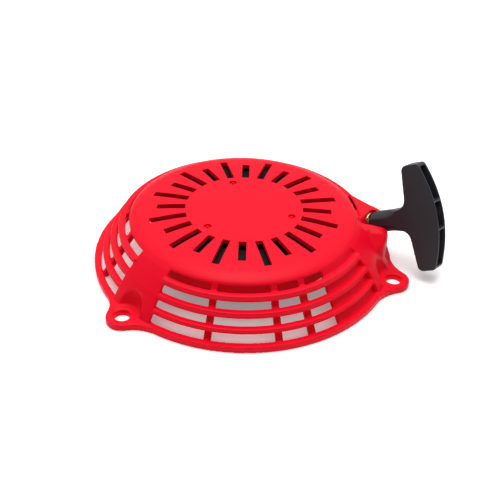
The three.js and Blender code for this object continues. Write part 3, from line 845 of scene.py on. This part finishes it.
grip = {
    "halfLength": 33.7, "reach": 46.8, "stemHalf": 6.7, "halfThick": 6.7, "edgeThick": 6.1,
    "pocketFloor": 37.4, "pockets": ((-8.2, 8.2, 4.9), (9.3, 31.6, 4.7), (-31.6, -9.3, 4.7)),
    "ropeBore": 2.7, "cornerHalf": 11.5, "cornerEnd": 25, "voxel": 0.35, "passes": 6, "keep": 0.6,
}
stemProfile = [(0, -6), (7.1, -6), (7.1, 14), (7.6, 17), (8.8, 20), (10.6, 23), (12.4, 25.5), (0, 25.5)]


def quadratic(a, b, c, steps=8):
    a, b, c = Vector(a), Vector(b), Vector(c)
    times = [k / steps for k in range(steps + 1)]
    return [tuple(a * (1 - t) ** 2 + b * 2 * t * (1 - t) + c * t * t) for t in times]


# Drawn flat: x along the rope, y along the T's bar
def gripOutline(spec):
    half, stem, reach = spec["halfLength"], spec["stemHalf"], spec["reach"]
    upper = [(0.8, 0.01)]
    upper += quadratic((0.8, 0.4), (1, stem - 0.5), (5, stem))
    upper += quadratic((21.0, stem), (25.8, stem + 0.2), (27.2, 12.5))
    upper += quadratic((28.6, half - 3.2), (29.2, half), (32.4, half))
    upper += quadratic((37.8, half), (39.8, half), (40.6, half - 2.4))
    upper += quadratic((40.6, half - 2.4), (reach - 0.1, (half - 2.4) / 2), (reach, 0.02), 16)[1:]
    lower = [(x, -y) for x, y in reversed(upper)]
    return upper + lower


def makeGrip(spec):
    thick, edge = spec["halfThick"], spec["edgeThick"]
    body = raised("grip", gripOutline(spec), -thick, thick)
    taper = raised("taper", [
        (-2, -thick), (28, -thick), (48, -edge), (60, -edge),
        (60, edge), (48, edge), (28, thick), (-2, thick),
    ], -60, 60)
    taper.data.transform(Matrix.Rotation(math.pi / 2, 4, "X"))
    boolean(body, taper, "INTERSECT")
    side, end = spec["cornerHalf"], spec["cornerEnd"]
    corner = raised("corner", [(-5, -side), (end, -side), (end, side), (-5, side)], -side, side)
    stem = turned("stem", stemProfile, 96)
    stem.data.transform(Matrix.Rotation(math.pi / 2, 4, "Y"))
    boolean(corner, stem, "DIFFERENCE")
    boolean(body, corner, "DIFFERENCE")
    floor = spec["pocketFloor"]
    for low, high, half in spec["pockets"]:
        pocket = raised("pocket", [(floor, low), (60, low), (60, high), (floor, high)], -half, half)
        boolean(body, pocket, "DIFFERENCE")
    boolean(body, bar("ropeBore", spec["ropeBore"], (0, 0, 0), (1, 0, 0), -5, 40, 48), "DIFFERENCE")
    softened(body, spec["voxel"], spec["passes"], spec["keep"])
    body.data.transform(Matrix.Translation(gripOrigin) @ gripTurn)
    return settle(body, "handle", ("grip",), gripBlack)


gripPiece = makeGrip(grip)
print("grip:", len(gripPiece.data.polygons), "faces")


# A round tube along a path, with its UVs in turns round and circumferences along
def tubeAlong(name, points, radius, sides=20, closed=False):
    path = [Vector(p) for p in points]
    n = len(path)
    tangents = []
    for i in range(n):
        before = path[i - 1] if closed or i else path[i]
        after = path[(i + 1) % n] if closed or i < n - 1 else path[i]
        tangents.append((after - before).normalized())
    side = tangents[0].orthogonal().normalized()
    verts, lengths, travelled = [], [], 0.0
    for i, (p, t) in enumerate(zip(path, tangents)):
        if i:
            travelled += (p - path[i - 1]).length
            side = tangents[i - 1].rotation_difference(t) @ side
        side = (side - t * side.dot(t)).normalized()
        other = t.cross(side)
        lengths.append(travelled)
        for k in range(sides):
            angle = 2 * math.pi * k / sides
            verts.append(p + side * (radius * math.cos(angle)) + other * (radius * math.sin(angle)))
    faces, uvs = [], []
    turn = 2 * math.pi * radius
    for i in range(n if closed else n - 1):
        j = (i + 1) % n
        v0 = lengths[i] / turn
        v1 = (lengths[j] if j else travelled + (path[0] - path[-1]).length) / turn
        for k in range(sides):
            m = (k + 1) % sides
            faces.append((i * sides + k, i * sides + m, j * sides + m, j * sides + k))
            u0, u1 = k / sides, (k + 1) / sides
            uvs += [(u0, v0), (u1, v0), (u1, v1), (u0, v1)]
    if not closed:
        faces.append(tuple(reversed(range(sides))))
        faces.append(tuple(range((n - 1) * sides, n * sides)))
        uvs += [(0.5, 0)] * sides + [(0.5, travelled / turn)] * sides
    mesh = bpy.data.meshes.new(name)
    mesh.from_pydata([tuple(v) for v in verts], [], faces)
    layer = mesh.uv_layers.new(name="UVMap")
    for loop, uv in zip(layer.data, uvs):
        loop.uv = uv
    obj = bpy.data.objects.new(name, mesh)
    bpy.context.scene.collection.objects.link(obj)
    return obj


# Two turns side by side in each layer, out from the core, and half a turn fewer in the last
def wound(spec):
    radii, perTurn, crossing = spec["radii"], spec["perTurn"], spec["crossing"]
    points = []
    for layer, radius in enumerate(radii):
        last = layer == len(radii) - 1
        order = spec["levels"] if layer % 2 == 0 else spec["levels"][::-1]
        for k, level in enumerate(order):
            count = perTurn // 2 if last and k == 1 else perTurn
            for i in range(count):
                cross = max(0.0, (i / perTurn - 1 + crossing) / crossing)
                z = level + (order[1] - level) * cross
                r = radius
                if k == 1 and not last:
                    r = radius + (radii[layer + 1] - radius) * cross
                points.append((r, z))
    total = len(points)
    return [polar(r, tangentAzimuth + (total - 1 - i) * 360 / perTurn, z) for i, (r, z) in enumerate(points)]


def makeRope(spec):
    radius = spec["radius"]
    settle(tubeAlong("ropeWound", wound(spec), radius, 14), "reel", ("rope_winding",), ropeYarn)
    before = eyelet - spec["straightBefore"] * eyeletAxis
    end = eyelet - 0.3 * eyeletAxis
    start = ropeStart.copy()
    start.z = spec["leadLevel"]
    lead = [start.lerp(before, k / 24) for k in range(25)] + [before.lerp(end, k / 6) for k in range(1, 7)]
    settle(tubeAlong("ropeInside", lead, radius, 18), "case", ("rope_lead",), ropeYarn)
    stretch = [eyelet - 0.2 * eyeletAxis]
    stretch += [gripOrigin + gripAxis * (0.5 + spec["gripLength"] * k / 20) for k in range(21)]
    return tubeAlong("ropeOut", stretch, radius, 18)


# The rope's free stretch between the outlet and the grip
ropeOut = makeRope(rope)
ropeOut.data.transform(Matrix.Translation(crank) @ Matrix.Scale(mm, 4))
ropeOut.data.materials.append(ropeYarn)
for polygon in ropeOut.data.polygons:
    polygon.use_smooth = True
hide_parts("rope_tail")
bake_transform(ropeOut)
print("rope made")


def knotPoints(size, steps=72):
    out = []
    for i in range(steps):
        t = 2 * math.pi * i / steps
        out.append(Vector((
            (math.sin(t) + 2 * math.sin(2 * t)) / 3 * size,
            (math.cos(t) - 2 * math.cos(2 * t)) / 3 * size,
            -math.sin(3 * t) * size * 0.45,
        )))
    return out


def boxCentre(name):
    low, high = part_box(name)
    return (low + high) / 2


knots = {"grip": {"size": 2.9, "radius": 1.35}, "reel": {"size": 2.4, "radius": 1.2}}


def makeKnot(name, cadNode, body, spec, tilt):
    obj = tubeAlong(name, knotPoints(spec["size"]), spec["radius"], 12, closed=True)
    middle = (boxCentre(cadNode) - crank) / mm
    obj.data.transform(Matrix.Translation(middle) @ tilt)
    settle(obj, body, (cadNode,), ropeYarn)


makeKnot("gripKnot", "grip_knot", "handle", knots["grip"], gripTurn @ Matrix.Rotation(math.pi / 2, 4, "X"))
makeKnot("reelKnot", "rope_knot", "reel", knots["reel"], Matrix.Identity(4))


reel = {
    "radius": 58.5, "webBottom": 19.2, "grooveLow": 20.8, "grooveHigh": 30.0, "core": 40.0,
    "hubBore": 8.35, "hub": 12.5, "springCup": 37, "ribs": 12, "ribWidth": 1.6,
    "pinCircle": 23, "pin": 2.4, "pinEnd": 12.9, "anchor": (36, 60), "peg": 2.2,
    "knotHole": (45, 200), "knotHoleRadius": 2.7, "sharp": 32,
}


def makeReel(spec):
    web, low, high, core = spec["webBottom"], spec["grooveLow"], spec["grooveHigh"], spec["core"]
    radius, bore, hub, cup = spec["radius"], spec["hubBore"], spec["hub"], spec["springCup"]
    profile = [
        (bore, 15.3), (hub, 15.3), (hub, web), (38, web), (radius, web), (radius, low - 0.3), (core, low),
        (core, high), (radius, high + 0.3), (radius, high + 1.7), (radius - 1.6, high + 1.7),
        (radius - 2.2, high + 1.1), (41.5, high + 1.1), (41, high + 1.7), (38.4, high + 1.7),
        (cup, high + 1.2), (cup, 22), (hub, 22), (hub, 23.6), (bore, 23.6),
    ]
    body = turned("reelBody", rounded(profile, 0.3, 2), 180)
    collar = [(37.2, web - 1.6), (39.2, web - 1.6), (39.2, web + 0.5), (37.2, web + 0.5)]
    parts = [turned("collar", collar, 180)]
    for i in range(spec["ribs"]):
        azimuth = 15 + i * 360 / spec["ribs"]
        rib = [(39, web - 1.3), (56.5, web - 0.9), (56.5, web + 0.5), (39, web + 0.5)]
        parts.append(upright("rib", rib, spec["ribWidth"], azimuth))
    for azimuth in (0, 180):
        pivot = polar(spec["pinCircle"], azimuth)
        parts.append(disc("pin", spec["pin"], spec["pinEnd"], web + 0.5, pivot, 40))
    parts.append(disc("peg", spec["peg"], 21.5, 31, polar(*spec["anchor"]), 40))
    union([body, *parts])
    hole = disc("knotHole", spec["knotHoleRadius"], 15, low + 1, polar(*spec["knotHole"]), 40)
    boolean(body, hole, "DIFFERENCE")
    settle(body, "reel", ("reel",), reelBlack, sharp=spec["sharp"])


bush = {
    "profile": [(2.75, -7.4), (4.1, -7.4), (4.1, -1.3), (6.2, -1.3), (6.2, -0.1), (2.75, -0.1)],
    "edges": [0.2, 0.2, 0.1, 0.3, 0.5, 1.2], "sharp": 35,
}


def makeEyelet(spec):
    obj = turned("ropeEyelet", rounded(spec["profile"], spec["edges"], 5), 72)
    turn = Vector((0, 0, 1)).rotation_difference(eyeletAxis).to_matrix().to_4x4()
    obj.data.transform(Matrix.Translation(eyelet) @ turn)
    settle(obj, "case", ("rope_eyelet",), brass, sharp=spec["sharp"])


screw = {
    "hexReach": 5.6, "headLow": 2.6, "headHigh": 6.2,
    "shank": 3.0, "shankLow": 7, "shankHigh": 29.6, "sharp": 30,
    "crown": [(0, 2.6), (4.5, 2.6), (5.7, 3.2), (5.7, 6.3), (0, 6.3)],
    "flange": [(0.01, 5.6), (6.6, 5.9), (7.5, 6.4), (7.5, 7.2), (0.01, 7.2)],
    "flangeEdges": [0, 0.4, 0.3, 0.2, 0],
}


def makeScrew(spec):
    hexagon = [tuple(polar(spec["hexReach"], 60 * i).xy) for i in range(6)]
    head = raised("centreScrew", hexagon, spec["headLow"], spec["headHigh"])
    boolean(head, turned("crown", spec["crown"], 96), "INTERSECT")
    flange = turned("screwFlange", rounded(spec["flange"], spec["flangeEdges"], 3), 96)
    union([head, flange, disc("shank", spec["shank"], spec["shankLow"], spec["shankHigh"], steps=48)])
    settle(head, "case", ("centre_screw",), zincSteel, sharp=spec["sharp"])


def helix(radius, z0, z1, turns, start=0.0, steps=40):
    count = int(turns * steps)
    return [
        polar(radius, start + 360 * turns * i / count, z0 + (z1 - z0) * i / count)
        for i in range(count + 1)
    ]


springs = {
    "friction": {"radius": 5.6, "low": 10.5, "high": 12.4, "turns": 1.75, "wire": 0.4},
    "ratchet": {
        "radius": 3.45, "low": 17.85, "high": 18.5, "turns": 1.5, "wire": 0.32, "legEnd": (15.4, 5.7),
    },
}


def makeSprings(friction, ratchet):
    coil = helix(friction["radius"], friction["low"], friction["high"], friction["turns"])
    settle(tubeAlong("frictionSpring", coil, friction["wire"], 12), "guide", ("friction_spring",),
           springSteel)
    radius, low, pin = ratchet["radius"], ratchet["low"], reel["pinCircle"]
    for i, azimuth in enumerate((0, 180)):
        coil = helix(radius, low, ratchet["high"], ratchet["turns"], 90)
        root, tip = Vector((pin - 0.5, radius, low)), Vector((*ratchet["legEnd"], low))
        path = [tip.lerp(root, k / 6) for k in range(6)] + [p + Vector((pin, 0, 0)) for p in coil]
        obj = tubeAlong(f"ratchetSpring{i + 1}", path, ratchet["wire"], 10)
        obj.data.transform(Matrix.Rotation(math.radians(azimuth), 4, "Z"))
        settle(obj, "reel", (f"ratchet_spring_{i + 1}",), springSteel)


mainspring = {
    "turns": 8, "strip": 0.5, "inner": 13.7, "outer": 33.2, "low": 22.6, "high": 30.4,
    "start": 60, "perTurn": 60, "sharp": 30,
}


def makeMainspring(spec):
    steps = spec["turns"] * spec["perTurn"]
    near, far = [], []
    for i in range(steps + 1):
        angle = spec["start"] + 360 * spec["turns"] * i / steps
        radius = spec["inner"] + (spec["outer"] - spec["inner"]) * i / steps
        near.append(tuple(polar(radius, angle).xy))
        far.append(tuple(polar(radius + spec["strip"], angle).xy))
    n = len(near)
    up = 2 * n
    verts = [(x, y, z) for z in (spec["low"], spec["high"]) for x, y in near + far]
    faces = []
    for a in range(n - 1):
        b, c, d = a + 1, n + a, n + a + 1
        faces += [(a, b, up + b, up + a), (d, c, up + c, up + d)]
        faces += [(c, d, b, a), (up + a, up + b, up + d, up + c)]
    faces += [(0, 2 * n, 3 * n, n), (n - 1, 2 * n - 1, 4 * n - 1, 3 * n - 1)]
    obj = meshObject("mainspring", verts, faces)
    settle(obj, "case", ("mainspring",), springSteel, sharp=spec["sharp"])


makeReel(reel)
makeEyelet(bush)
makeScrew(screw)
makeSprings(springs["friction"], springs["ratchet"])
makeMainspring(mainspring)


# A CAD node whose shape is right gets eased edges and a material
def finishNode(name, material, width=0.25):
    obj = frame["nodes"][name]
    obj.data.materials.clear()
    obj.data.materials.append(material)
    weld = obj.modifiers.new("weld", "WELD")
    weld.merge_threshold = tiny
    bevel = obj.modifiers.new("edges", "BEVEL")
    bevel.width = width * mm
    bevel.segments = 2
    bevel.limit_method = "ANGLE"
    bevel.angle_limit = math.radians(35)
    bevel.harden_normals = True


finishNode("post_insert", brass, 0.15)
finishNode("thrust_washer", zincSteel, 0.2)
finishNode("ratchet_guide", guideBlack)
finishNode("ratchet_1", zincSteel)
finishNode("ratchet_2", zincSteel)
print("inner parts made")


floorSpec = {"half": 4000, "depth": 20, "grey": 0.93, "roughness": 0.7, "glow": 0.24}


def makeFloor(spec):
    half, grey = spec["half"], spec["grey"]
    floor = raised("floor", [(-half, -half), (half, -half), (half, half), (-half, half)], -spec["depth"], 0)
    floor.data.transform(Matrix.Translation(crank) @ Matrix.Scale(mm, 4))
    material, tree, shader = newMaterial("paleFloor")
    shader.inputs["Base Color"].default_value = (grey, grey, grey, 1)
    shader.inputs["Roughness"].default_value = spec["roughness"]
    shader.inputs["Emission Color"].default_value = (1, 1, 1, 1)
    shader.inputs["Emission Strength"].default_value = spec["glow"]
    floor.data.materials.append(material)


makeFloor(floorSpec)
print("floor laid")
